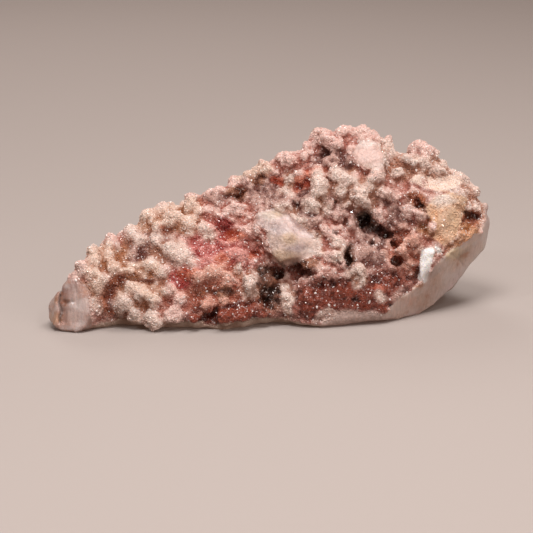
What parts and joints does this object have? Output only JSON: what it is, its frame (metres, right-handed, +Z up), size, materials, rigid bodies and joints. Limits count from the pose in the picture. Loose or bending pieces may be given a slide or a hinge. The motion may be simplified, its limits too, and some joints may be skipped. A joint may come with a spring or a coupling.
{
  "type": "pink amethyst cluster",
  "caption": "Long rough piece of pink amethyst: knobs of drusy quartz grown over a banded chalcedony rind, with open vugs, broken faces and a ground tip, standing on its ground base.",
  "frame": {"origin": "centre of the object's bounding box in plan, on the ground base", "axes": "+Z up, the crystal front towards -Y, the length along X with the low ground tip at -X"},
  "size_m": [0.2254, 0.0944, 0.0949],
  "materials": {
    "pink_amethyst": "drusy quartz, cream to pink, sparkling, with smooth ground chalcedony at the tip, the right shoulder and the base"
  },
  "bodies": {
    "root": {"pink_amethyst_cluster": "pink_amethyst"}
  },
  "joints": []
}
